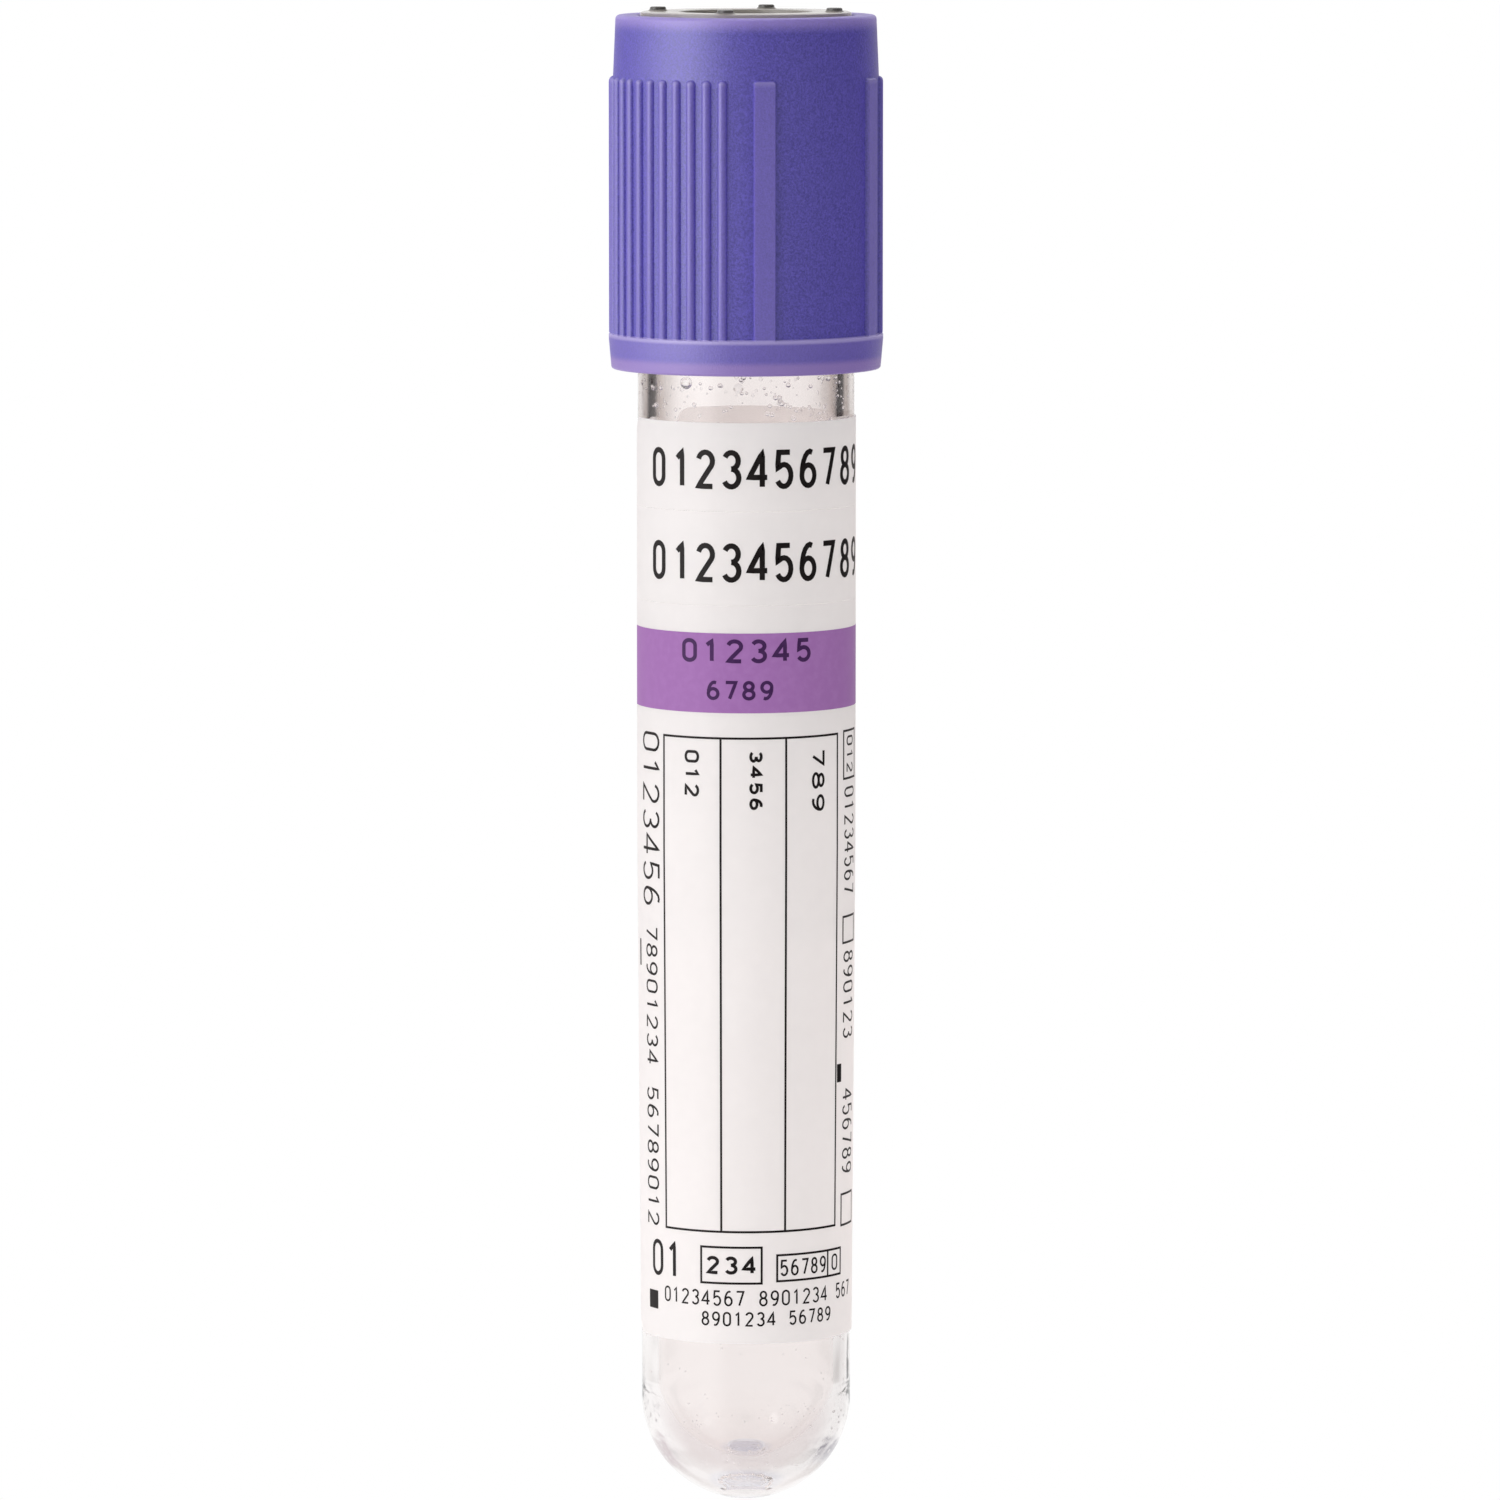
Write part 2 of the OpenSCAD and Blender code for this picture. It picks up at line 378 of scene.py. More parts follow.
def add_drop(body, angle, height, size):
    """Adds a dome on the bore, with its foot sunk a little into the wall. Size is its radius,
    and fine drops have fewer sides."""
    wall = bore_at(height)
    profile = [(0, -0.05), (1, -0.05), (1, 0), (0.86, 0.3), (0.5, 0.52), (0, 0.6)]
    sides = whole_turn(8 if size < fine_size else 14)
    rings = []
    for wide, rise in profile:
        depth = wall - (rise * size if rise > 0 else rise)
        turns = sides if wide else [0]
        reach = wide * size
        rings.append(body.ring([
            stood(angle + reach * math.sin(t) / wall, depth, height + reach * math.cos(t))
            for t in turns
        ]))
    body.skin(rings)


drops = Body()
for i in range(large_drops):
    height = spray_low + (spray_high - spray_low) * i / (large_drops - 1)
    size = large_least + (large_most - large_least) * (i % 4) / 3
    add_drop(drops, i * golden_angle, height, size)
for i in range(mist_drops):
    height = random.uniform(spray_low, mist_high)
    angle = random.uniform(0, 2 * math.pi)
    size = mist_least + (mist_most - mist_least) * random.random() ** 2
    add_drop(drops, angle, height, size)
for i in range(stray_drops):
    height = stray_low + (label_low - stray_low) * random.random() ** 2
    add_drop(drops, random.uniform(0, 2 * math.pi), height, stray_size)
for turn, height, size in neck_drops:
    add_drop(drops, math.radians(turn), height, size)


def dried_additive():
    """Clear dried salt solution, a little cloudy in places."""
    salt = Finish("dried additive")
    cloud = salt.grain(3.0)
    shader = salt.skin(
        base_color=salt.blend(cloud, swatch(246, 246, 248), swatch(255, 255, 255)),
        roughness=0.04 + 0.1 * cloud.rises(0.45, 0.7),
        transmission_weight=1.0,
        ior=1.38,
    )
    return salt.finished(salt.lets_lamps_through(shader, swatch(245, 245, 247)))


drops.made("droplets", dried_additive(), "labelled_tube", ["additive_droplets"])


# ------------------------------------------------------------------------- label and strips
# A white coated paper label is wrapped round the tube, and its ends leave a window at the back.
# Two kiss cuts part its top into strips with the tube's number, which peel off one by one.

label_edge = math.radians(-83)
label_wrap = math.radians(312)
label_end = label_edge + label_wrap
label_out = 0.09
label_sink = 0.005
corner_r = 1.1
paper_step = math.radians(1.5)
kiss_cut = 0.02
lower_cut = height_of(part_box("number_strip_lower")[1].z)
upper_cut = height_of(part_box("number_strip_upper")[1].z)
label_top = height_of(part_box("number_strip_upper")[0].z)


def wrapped(body, start, end, low, high, inner, outer, low_corner=0.0, high_corner=0.0):
    """Adds a closed strip that follows the tube, between two angles and two heights. Inner and
    outer are its faces' distances from the tube, and its ends have rounded corners."""
    around = shank_r(high) + outer
    corner = max(low_corner, high_corner)
    count = max(2, round((end - start) / paper_step))
    angles = {start + (end - start) * i / count for i in range(count + 1)}
    for i in range(8 if corner else 0):
        inset = corner * (1 - math.cos(math.pi / 2 * i / 8)) / around
        angles |= {start + inset, end - inset}
    bends = [bend for bend in (foot_top, draft_top) if low + corner < bend < high - corner]
    rings = []
    for angle in sorted(angles):
        edge = min(angle - start, end - angle) * around
        cut = [0.0, 0.0]
        for side, size in enumerate((low_corner, high_corner)):
            if size and edge < size:
                cut[side] = size - math.sqrt(max(size ** 2 - (size - edge) ** 2, 0))
        most = 0.97 * corner
        heights = [low + min(cut[0], most), *bends, high - min(cut[1], most)]
        section = [stood(angle, shank_r(h) + inner, h) for h in heights]
        section += [stood(angle, shank_r(h) + outer, h) for h in reversed(heights)]
        rings.append(body.ring(section))
    body.skin(rings)
    body.faces += [rings[0], rings[-1]]


def label_paper():
    """White coated paper, hardly mottled, with a soft gloss. Some of the light that falls on one
    side comes out at the other, and about half of the rays that come through the tube's wall
    go straight on, so the wrapped tube is as bright inside as a white lamp shade."""
    scattered = 0.34
    straight_on = 0.55
    paper = Finish("label paper")
    fibre = paper.grain(1.3, detail=3.0)
    cloud = paper.grain(0.12)
    tone = 0.6 * cloud + 0.4 * fibre
    tint = paper.blend(tone.rises(0.3, 0.7), swatch(243, 241, 241), swatch(247, 245, 245))
    face = paper.skin(
        base_color=tint,
        roughness=0.42 + 0.12 * fibre,
        normal=paper.relief(fibre, 0.006),
    )
    through = paper.node("ShaderNodeBsdfTranslucent", {}, {"Color": swatch(252, 251, 251)})
    shader = paper.node("ShaderNodeMixShader", {}, {0: scattered, 1: face, 2: through})
    inside = paper.node("ShaderNodeLightPath", out="Is Transmission Ray")
    clear = paper.node("ShaderNodeBsdfTransparent", {}, {"Color": swatch(252, 250, 249)})
    shader = paper.node("ShaderNodeMixShader", {}, {0: straight_on * inside, 1: shader, 2: clear})
    return paper.finished(paper.lets_lamps_through(shader, swatch(252, 250, 249)))


paper = label_paper()
# Each stretch runs from one height to another, with a radius for its lower and upper corners.
stretches = {
    "label": (label_low, lower_cut - kiss_cut, corner_r, 0),
    "number_strip_lower": (lower_cut, upper_cut - kiss_cut, 0, 0),
    "number_strip_upper": (upper_cut, label_top, 0, corner_r),
}
for name, (low, high, *corners) in stretches.items():
    strip = Body()
    wrapped(strip, label_edge, label_end, low, high, -label_sink, label_out, *corners)
    strip.made(f"paper_{name}", paper, "labelled_tube", [name])


# ---------------------------------------------------------------------------------- print
# The label is printed with a violet band that matches the cap, a frame with three columns to
# write in, and rows of plain numbers. The print is a thin layer of ink on the paper, and the
# band has numbers of its own on top.

ink_sink = 0.004
ink_t = 0.008
band_low = 48.37
band_high = 53.13
frame_low = 17.11
frame_high = 46.92
frame_lines = (-48, -13.3, 21.3, 56)
line_w = 0.13
stroke_step = 0.25
strip_middles = (62.88, 57.33)
strip_angles = (-52, -35.6, -21.5, -7.6, 6.5, 20, 34.2, 48.3, 63.7, 78)
strip_figure = (1.22, 2.35, 0.32)
# Rows of figures along the tube, and rows across it. Each has its figures, the angle and the
# height of its middle, and the width, the height and the stroke of a figure.
rows_along = (
    ("012", -29.4, 44.7, 0.75, 1.0, 0.17),
    ("3456", 5.2, 44.35, 0.7, 0.8, 0.17),
    ("789", 41, 44.2, 1.0, 1.0, 0.17),
    ("0123456", -60.5, 41.7, 1.15, 2.0, 0.17),
    ("78901234 56789012", -60.0, 26.2, 0.8, 1.35, 0.14),
    ("012", 71, 45.5, 0.6, 1.1, 0.12),
    ("01234567", 70.8, 40.3, 0.62, 1.7, 0.13),
    ("890123", 70.8, 31.0, 0.68, 1.7, 0.13),
    ("456789", 70.8, 22.7, 0.66, 1.7, 0.13),
)
rows_across = (
    ("01", -49, 15.25, 1.1, 2.2, 0.24),
    ("56789", 33.4, 14.95, 0.52, 1.0, 0.12),
    ("0", 55.9, 14.95, 0.6, 1.0, 0.12),
    ("01234567 8901234 567", 12.5, 13.15, 0.52, 0.95, 0.11),
    ("8901234 56789", 13.9, 11.9, 0.5, 0.88, 0.11),
)
# Each box and each solid block lies between two angles and two heights.
boxes = (
    (62.5, 80, 44.0, 47.0),
    (62.5, 80, 34.1, 35.8),
    (62.5, 80, 17.0, 19.0),
    (-24.7, 8.4, 14.0, 16.3),
    (16.9, 61.9, 14.1, 15.8),
)
blocks = (
    (57.2, 61.5, 25.8, 26.9),
    (-76, -73.8, 32.7, 34.3),
    (-64.5, -55.5, 12.1, 13.2),
)


def add_field(body, start, end, low, high):
    """Adds a field of ink between two angles, in degrees, and two heights."""
    span = math.radians(start), math.radians(end)
    wrapped(body, *span, low, high, label_out - ink_sink, label_out + ink_t)


def add_upright_line(body, angle, low, high):
    """Adds a thin line of ink along the tube."""
    half = math.degrees(line_w / 2 / (tube_r + label_out))
    add_field(body, angle - half, angle + half, low, high)


def add_box(body, start, end, low, high):
    """Adds an outlined box."""
    add_field(body, start, end, low, low + line_w)
    add_field(body, start, end, high - line_w, high)
    for angle in (start, end):
        add_upright_line(body, angle, low, high)


def bow(x, y, wide, tall, start, end):
    """Points on a bow round a middle, between two angles in degrees."""
    steps = max(4, round(abs(end - start) / 18))
    turns = [math.radians(start + (end - start) * i / steps) for i in range(steps + 1)]
    return [(x + wide * math.cos(t), y + tall * math.sin(t)) for t in turns]


# The strokes of each figure, from -0.5 to 0.5 across and from -1 to 1 up.
FIGURES = {
    "0": [bow(0, 0.5, 0.5, 0.5, 0, 180) + bow(0, -0.5, 0.5, 0.5, 180, 360) + [(0.5, 0.5)]],
    "1": [[(-0.35, 0.6), (0.05, 1), (0.05, -1)]],
    "2": [bow(0, 0.48, 0.5, 0.52, 165, -30) + [(-0.5, -1), (0.5, -1)]],
    "3": [bow(0, 0.52, 0.46, 0.48, 155, -90), bow(0, -0.48, 0.5, 0.52, 90, -155)],
    "4": [[(0.25, -1), (0.25, 1), (-0.6, -0.45), (0.58, -0.45)]],
    "5": [[(0.42, 1), (-0.36, 1), (-0.44, 0.05)] + bow(0, -0.36, 0.5, 0.64, 125, -150)],
    "6": [bow(0, -0.4, 0.5, 0.6, 0, 360), bow(0.12, -0.4, 0.62, 1.4, 180, 72)],
    "7": [[(-0.5, 1), (0.5, 1), (-0.12, -1)]],
    "8": [bow(0, 0.52, 0.42, 0.48, 0, 360), bow(0, -0.48, 0.5, 0.52, 0, 360)],
    "9": [bow(0, 0.4, 0.5, 0.6, 0, 360), bow(-0.12, 0.4, 0.62, 1.4, 0, -108)],
}


def add_stroke(body, path, width, angle, height, lift):
    """Adds a stroke of ink along a path of points, in millimetres from an angle and a height.
    Lift is how far the face that it lies on is from the paper."""
    points = [Vector(path[0])]
    for end in map(Vector, path[1:]):
        start = points[-1]
        parts = max(1, round((end - start).length / stroke_step))
        points += [start.lerp(end, i / parts) for i in range(1, parts + 1)]
    closed = (points[0] - points[-1]).length < 1e-6
    if closed:
        points.pop()
    rings = []
    for i, point in enumerate(points):
        before = points[i - 1] if closed or i else point
        after = points[(i + 1) % len(points)] if closed or i + 1 < len(points) else point
        into, out = point - before, after - point
        into = into.normalized() if into.length else out.normalized()
        out = out.normalized() if out.length else into
        along = (into + out).normalized()
        aside = Vector((-along.y, along.x)) * width / 2 / max(along.dot(into), 0.62)
        section = []
        for edge, layer in ((-1, -ink_sink), (1, -ink_sink), (1, ink_t), (-1, ink_t)):
            x, y = point + edge * aside
            radius = shank_r(height + y) + label_out + lift + layer
            section.append(stood(angle + x / radius, radius, height + y))
        rings.append(body.ring(section))
    body.skin(rings + rings[:1] if closed else rings)
    if not closed:
        body.faces += [rings[0], rings[-1]]


def add_figures(body, text, angle, height, wide, tall, stroke, turn=0, pitch=1.35, lift=0):
    """Adds a row of figures of a width, a height and a stroke, in millimetres, centred on an
    angle in degrees and a height, and turned in degrees. The pitch is in widths of a figure."""
    turned = Matrix.Rotation(math.radians(turn), 2)
    for i, figure in enumerate(text):
        start = (i - (len(text) - 1) / 2) * pitch * wide
        for path in FIGURES.get(figure, ()):
            path = [turned @ Vector((start + x * (wide - stroke), y / 2 * (tall - stroke)))
                    for x, y in path]
            add_stroke(body, path, stroke, math.radians(angle), height, lift)


def ink(name, dense, thin):
    """Ink that lies a little unevenly on the paper."""
    layer = Finish(name)
    cover = layer.grain(2.2, detail=3.0).rises(0.35, 0.75)
    shader = layer.skin(
        base_color=layer.blend(cover, dense, thin),
        roughness=0.4 + 0.15 * cover,
        specular_ior_level=0.25,
    )
    return layer.finished(shader)


band = Body()
add_field(band, math.degrees(label_edge), math.degrees(label_end), band_low, band_high)
violet_ink = ink("violet ink", swatch(166, 113, 181), swatch(171, 119, 186))
band.made("violet_band", violet_ink, "labelled_tube")

band_print = Body()
add_figures(band_print, "012345", 0.3, 52.07, 1.02, 1.43, 0.24, pitch=1.4, lift=ink_t)
add_figures(band_print, "6789", -3.2, 49.72, 0.8, 1.17, 0.2, lift=ink_t)
plum_ink = ink("plum ink", swatch(66, 30, 84), swatch(74, 36, 92))
band_print.made("band_figures", plum_ink, "labelled_tube")

black_print = Body()
for strip_middle in strip_middles:
    for i, angle in enumerate(strip_angles):
        add_figures(black_print, str(i), angle, strip_middle, *strip_figure)
for angle in frame_lines:
    add_upright_line(black_print, angle, frame_low, frame_high)
for level in (frame_low, frame_high - line_w):
    add_field(black_print, frame_lines[0], frame_lines[-1], level, level + line_w)
for row in rows_along:
    add_figures(black_print, *row, turn=-90)
for row in rows_across:
    add_figures(black_print, *row)
for field in boxes:
    add_box(black_print, *field)
for field in blocks:
    add_field(black_print, *field)
# The boxed row is set wider, and a line parts the last box.
add_figures(black_print, "234", -8.1, 15.15, 0.8, 1.1, 0.2, pitch=1.4)
add_upright_line(black_print, 49.8, 14.1, 15.8)
black_ink = ink("black ink", swatch(22, 16, 16), swatch(34, 28, 28))
black_print.made("black_figures", black_ink, "labelled_tube")


# -------------------------------------------------------------------------------- stopper
# The stopper is moulded in grey rubber. Its plug seals the bore, its flange sits on the mouth,
# and the cap's shelf grips the groove. The needle well is in its head, with four pips round it.

stopper_low, stopper_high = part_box("stopper")
cap_low, cap_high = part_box("safety_cap")
cap_rim = height_of(cap_low.z)
pip_h = 0.25
head_top = height_of(stopper_low.z) - pip_h
plug_foot = height_of(stopper_high.z)
plug_r = bore_r - 0.03
flange_low = tube_len + 0.02
shelf_low = flange_low + 3.0
shelf_top = shelf_low + 2.5
groove_r = plug_r - 0.25
head_r = tube_r - 0.15
well_r = 4.0
well_floor = head_top - 3.0
hollow_r = 3.0
hollow_top = plug_foot + 10.0
stopper_sides = 192
pip_ring_r = 5.4
first_pip = 77
pip_profile = ((0, -0.1), (0.62, -0.1), (0.58, 0.03), (0.5, 0.08), (0.46, pip_h - 0.03),
               (0.38, pip_h), (0, pip_h))


def swelling(radius, height):
    """A row of the moulded rubber, which is never quite round."""
    def row(angle):
        place = Vector((math.cos(angle), math.sin(angle), 0.4 * height)) * 1.3
        return radius + 0.012 * noise.noise(place), height
    return row


# The outline starts on the well's floor, goes over the head and down to the plug's foot, and
# ends in the hollow of the plug.
rows = [well_floor]
rows += [swelling(well_r - 0.25, well_floor), swelling(well_r - 0.05, well_floor + 0.07)]
rows += [swelling(well_r - 0.02, well_floor + 0.25), swelling(well_r - 0.02, head_top - 0.15)]
rows += [swelling(well_r + 0.03, head_top - 0.04), swelling(well_r + 0.15, head_top)]
rows += [swelling(head_r - 0.2, head_top), swelling(head_r - 0.06, head_top - 0.05)]
rows += [swelling(head_r - 0.02, head_top - 0.2), swelling(head_r - 0.02, shelf_top + 0.2)]
rows += [swelling(head_r - 0.15, shelf_top + 0.02), swelling(groove_r + 0.1, shelf_top + 0.01)]
rows += [swelling(groove_r, shelf_top - 0.1), swelling(groove_r, shelf_low + 0.1)]
rows += [swelling(groove_r + 0.1, shelf_low - 0.01), swelling(neck_r - 0.15, shelf_low - 0.02)]
rows += [swelling(neck_r - 0.02, shelf_low - 0.15), swelling(neck_r - 0.02, flange_low + 0.15)]
rows += [swelling(neck_r - 0.15, flange_low + 0.01), swelling(plug_r - 0.012, flange_low + 0.01)]
rows += [swelling(plug_r - 0.012, plug_foot + 0.85), swelling(plug_r - 0.1, plug_foot + 0.5)]
rows += [swelling(plug_r - 0.35, plug_foot + 0.06), swelling(plug_r - 0.45, plug_foot)]
rows += [swelling(hollow_r + 0.15, plug_foot), swelling(hollow_r, plug_foot + 0.15)]
rows += [swelling(hollow_r, hollow_top - 0.4), swelling(hollow_r - 0.4, hollow_top), hollow_top]
stopper = Body()
stopper.turn(rows, whole_turn(stopper_sides))

for turn in range(first_pip, 360, 90):
    middle = math.radians(turn)
    rings = []
    for wide, rise in pip_profile:
        turns = whole_turn(24) if wide else [0]
        rings.append(stopper.ring([
            stood(middle + wide * math.sin(t) / pip_ring_r, pip_ring_r + wide * math.cos(t),
                  head_top + rise)
            for t in turns
        ]))
    stopper.skin(rings)


def grey_rubber():
    """Satin grey rubber with a faint mottled bloom. The head above the cap's rim and the upper wall
    of its needle well are painted much lighter, as painted light where little light reaches.
    """
    rubber = Finish("grey rubber")
    height = rubber.height()
    bloom = rubber.grain(0.8, detail=4.0)
    pores = rubber.grain(5.0)
    below_pips = height.rises(head_top + 0.06, head_top + 0.01)
    # Painted light: the head's top and side above the cap's rim are painted pale.
    head_painted_light = height.rises(cap_rim - 0.1, cap_rim) * below_pips
    # Painted light: the upper wall of the needle well is painted pale where it lies in shade.
    well = rubber.radius().rises(well_r + 0.1, well_r) * below_pips
    well = well * height.rises(head_top - 0.8, head_top - 0.4)
    base = rubber.blend(bloom.rises(0.35, 0.7), swatch(104, 102, 100), swatch(126, 123, 119))
    base = rubber.blend(0.9 * head_painted_light, base, swatch(204, 197, 189))
    shader = rubber.skin(
        base_color=rubber.blend(0.92 * well, base, swatch(232, 226, 218)),
        roughness=0.14 + 0.1 * bloom,
        normal=rubber.relief(pores, 0.004),
    )
    return rubber.finished(shader)


stopper.made("rubber_stopper", grey_rubber(), "closure", ["stopper"])


# ----------------------------------------------------------------------------- safety cap
# The cap is moulded in violet polyethylene with a fine spark-eroded grain. It has a plain collar
# at the rim, two groups of round grip ribs, two smooth panels between flat key ribs, and a lip.

lip_r = cap_high.x / MM
lip_h = 2.1
lip_top = cap_foot + lip_h
lip_land = 0.3
foot_round = 0.15
rim_round = 0.25
lip_low_r = lip_r - 0.145
skirt_r = lip_r - 0.275
crest_r = lip_r - 0.01
collar_h = 3.6
collar_low = cap_rim - collar_h
rib_end = collar_low - 0.05
rim_r = skirt_r - 0.14
skirt_in_r = tube_r + 0.4
shelf_r = groove_r + 0.1
head_bore_r = head_r + 0.1
rib_r = 0.29
rib_pitch = math.radians(7)
ribs_in_group = 13
key_half = 0.675
key_round = 0.22
key_rise = crest_r - skirt_r - 0.028
panel = math.radians(37.85)
key_turn = math.radians(29.85)
quarter = math.pi / 2

# One panel with its two key ribs is a little to the right of the print, and one behind. The
# groups of ribs are half way between them.
key_angles = []
rib_angles = []
for side in (0, math.pi):
    key_angles += [panel + side - key_turn, panel + side + key_turn]
    first_rib = panel + side + quarter - (ribs_in_group - 1) / 2 * rib_pitch
    rib_angles += [first_rib + i * rib_pitch for i in range(ribs_in_group)]


def off(angle, middle):
    """Angle from a middle, by the shorter way round."""
    return (angle - middle + math.pi) % (2 * math.pi) - math.pi


def eased(value, floor, soft):
    """The larger of two values, with a soft turn between them."""
    return (value + floor + math.sqrt((value - floor) ** 2 + soft ** 2)) / 2


def rib_rise(angle, height):
    """How far a round grip rib stands out from the skirt at an angle and a height."""
    nearest = min(abs(off(angle, middle)) for middle in rib_angles) * skirt_r
    above = max(height - (rib_end - rib_r), 0)
    away = math.hypot(nearest, above)
    if away > rib_r:
        return 0.8 * (rib_r - away)
    return math.sqrt(rib_r ** 2 - away ** 2) - (skirt_r - crest_r + rib_r)


def key_rib_rise(angle, height):
    """How far a flat key rib stands out, with rounded upper corners and a small bevel."""
    nearest = min(abs(off(angle, middle)) for middle in key_angles)
    aside = max(nearest * skirt_r - key_half + key_round, 0)
    above = max(height - rib_end + key_round, 0)
    inside = key_round - math.hypot(aside, above)
    face = (skirt_r + key_rise) / math.cos(min(nearest, 0.2)) - skirt_r
    return -eased(-face, -inside * 4 + 0.04, 0.05)


def skirt_at(angle, height):
    """Radius of the cap's outside, ribs and all."""
    rise = eased(max(rib_rise(angle, height), key_rib_rise(angle, height)), 0, 0.035)
    base = skirt_r
    if height > collar_low:
        base -= (skirt_r - rim_r) * (height - collar_low) / (cap_rim - rim_round - collar_low)
    return min(base + rise, crest_r)


def skirt_row(height):
    """A row on the skirt's outside, which follows the ribs."""
    return lambda angle: (skirt_at(angle, height), height)


def lip_edge(inset, rise):
    """A row at the lip's upper edge, which wanders as moulded edges do."""
    def row(angle):
        wander = 0.016 * noise.noise(Vector((math.cos(angle), math.sin(angle), 0)) * 5)
        return lip_r - inset, lip_top + rise + wander
    return row


def lip_shelf(angle):
    """Where the lip's top meets the skirt and the feet of the ribs."""
    return min(skirt_at(angle, lip_top), lip_r - 0.05), lip_top + 0.012


# The cap's columns stand close together on the flanks of the ribs, and are few between them.
rib_offsets = [step * rib_r for step in (0.15, 0.35, 0.5, 0.65, 0.8, 0.92, 1.0, 1.15, 1.35)]
key_offsets = [0.1, 0.3, 0.45, 0.53, 0.58, 0.62, 0.65, 0.68, 0.71, 0.75, 0.8, 0.9]
columns = set()
for middles, offsets in ((rib_angles, [0] + rib_offsets), (key_angles, key_offsets)):
    for middle in middles:
        for x in offsets:
            columns |= {round((middle + side * x / skirt_r) % (2 * math.pi), 5) for side in (-1, 1)}
columns |= {round(angle, 5) for angle in whole_turn(144)
            if min(abs(off(angle, middle)) for middle in rib_angles + key_angles) > 0.1}

# The outline starts under the lip, goes up the outside and over the rim, and comes down the
# inside past the shelf.
rows = [ring(skirt_in_r + 0.4, cap_foot), ring(lip_low_r - foot_round, cap_foot)]
rows += rounded(foot_round, 22.5, 90, cap_foot + foot_round, 3, out=lip_low_r - foot_round)
rows += [ring(lip_low_r + 0.05, cap_foot + 0.7), ring(lip_r, lip_top - lip_land)]
rows += [lip_edge(0, -0.07), lip_edge(0.012, -0.025), lip_edge(0.04, 0), lip_shelf]
rows += [skirt_row(lip_top + 0.1), skirt_row(lip_top + 4), skirt_row(lip_top + 8)]
rows += [skirt_row(rib_end - rib_r * (1 - up))
         for up in (0, 0.3, 0.5, 0.65, 0.78, 0.88, 0.95, 1.0, 1.12, 1.3)]
rows += [skirt_row(collar_low + 0.15), skirt_row(collar_low + 1.5)]
rows += rounded(rim_round, 90, 180, cap_rim - rim_round, 5, out=rim_r - rim_round)
rows += [ring(head_bore_r + 0.2, cap_rim), ring(head_bore_r + 0.06, cap_rim - 0.05)]
rows += [ring(head_bore_r, cap_rim - 0.2), ring(head_bore_r, shelf_top + 0.05)]
rows += [ring(head_bore_r - 0.05, shelf_top), ring(shelf_r + 0.1, shelf_top)]
rows += [ring(shelf_r, shelf_top - 0.1), ring(shelf_r, shelf_low + 0.1)]
rows += [ring(shelf_r + 0.1, shelf_low), ring(skirt_in_r - 0.1, shelf_low)]
rows += [ring(skirt_in_r, shelf_low - 0.1), ring(skirt_in_r, cap_foot + 0.4)]
cap = Body()
cap.turn(rows, sorted(columns))


def violet_plastic():
    """Matt violet polyethylene, grained and mottled. Painted highlights lighten the rib crests, the
    rib tops, the lip's upper edge and the rim, and a painted glow of light through the thin plastic
    makes the lip and its foot paler and pinker.
    """
    plastic = Finish("violet plastic")
    height = plastic.height()
    grain = plastic.grain(8.0, detail=3.0, rough=0.7)
    cloud = plastic.grain(0.35)
    # Painted highlights: the rib crests, and the rib tops under the collar, are painted lighter
    # where light catches them.
    crest_highlight = plastic.radius().rises(skirt_r + 0.02, crest_r)
    rib_top_highlight = crest_highlight * height.rises(rib_end - 0.45, rib_end - 0.1)
    rib_top_highlight = rib_top_highlight * height.rises(collar_low + 0.05, collar_low)
    # Painted glow: the lip is painted paler and pinker, as light through the thin plastic.
    lip = height.rises(lip_top + 0.08, lip_top)
    # Painted highlight: the lip's upper edge is painted light.
    edge = height.rises(lip_top - 0.3, lip_top - 0.1) * height.rises(lip_top + 0.08, lip_top + 0.02)
    # Painted glow: the foot of the lip is painted pale and pink.
    foot = height.rises(cap_foot + 0.95, cap_foot + 0.5)
    # Painted highlight: the rim is painted lighter.
    rim = height.rises(cap_rim - 1.0, cap_rim - 0.1)
    base = plastic.blend(grain.rises(0.3, 0.7), swatch(47, 31, 148), swatch(94, 77, 205))
    base = plastic.blend(0.4 * cloud, base, swatch(68, 56, 170))
    # These blends paint the highlights and the glow into the base colour.
    base = plastic.blend(0.5 * crest_highlight, base, swatch(124, 106, 201))
    base = plastic.blend(0.5 * rib_top_highlight, base, swatch(150, 138, 204))
    base = plastic.blend(0.3 * lip, base, swatch(98, 76, 182))
    base = plastic.blend(0.7 * edge, base, swatch(180, 166, 226))
    base = plastic.blend(0.65 * rim, base, swatch(172, 148, 226))
    base = plastic.blend(foot, base, swatch(142, 112, 196))
    shader = plastic.skin(
        base_color=base,
        roughness=0.4 + 0.1 * grain,
        ior=1.72,
        specular_ior_level=1.0,
        sheen_weight=0.12,
        sheen_roughness=0.4,
        sheen_tint=swatch(222, 210, 236),
        normal=plastic.relief(grain, 0.024),
    )
    return plastic.finished(shader)


cap.made("violet_cap", violet_plastic(), "closure", ["safety_cap"])


# --------------------------------------------------------------------------------- studio
# The tube stands on a pale floor in soft white light. A large soft box shines on its left, and a
# weak lamp on its cap, both up through the floor. Left and right are as the camera has them, and
# as it hangs upside down, its left is +X.

WHITE = (1.0, 1.0, 1.0, 1.0)
floor_half = 0.45
floor_glow = 0.34


def seen(finish):
    """1 for the rays that show a surface or a background, and 0 for those that light others."""
    camera, glossy, through = (finish.node("ShaderNodeLightPath", out=f"Is {ray} Ray")
                               for ray in ("Camera", "Glossy", "Transmission"))
    return camera.math("MAXIMUM", camera.math("MAXIMUM", camera, glossy), through)


